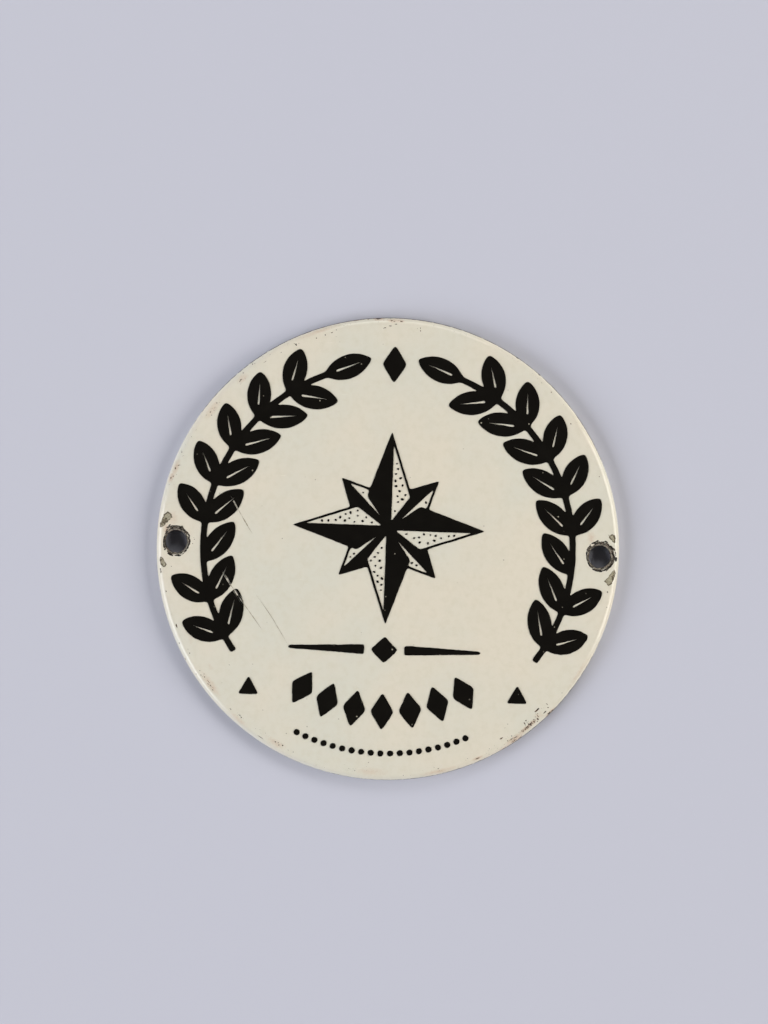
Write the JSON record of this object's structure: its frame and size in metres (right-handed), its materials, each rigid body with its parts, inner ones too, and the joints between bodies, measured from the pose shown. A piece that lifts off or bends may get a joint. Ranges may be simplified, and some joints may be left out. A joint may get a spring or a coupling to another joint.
{
  "type": "enamel advertising sign",
  "caption": "Small round domed sign of enamelled steel, white with black ornament, with its rim turned down and screw holes at the sides.",
  "frame": {"origin": "middle of the plane of the rim's back edge, on which the plate lies", "axes": "+Z out of the face, +X through the two screw holes to the right, +Y to the top of the design"},
  "size_m": [0.075, 0.075, 0.0043],
  "materials": {
    "white_enamel": "glossy vitreous enamel on pressed steel, ivory white, dark grey ground coat on the back",
    "black_enamel": "glossy black enamel, fired on as a thin layer"
  },
  "bodies": {
    "root": {"enamelled_plate": "white_enamel", "black_figures": "black_enamel"}
  },
  "joints": []
}
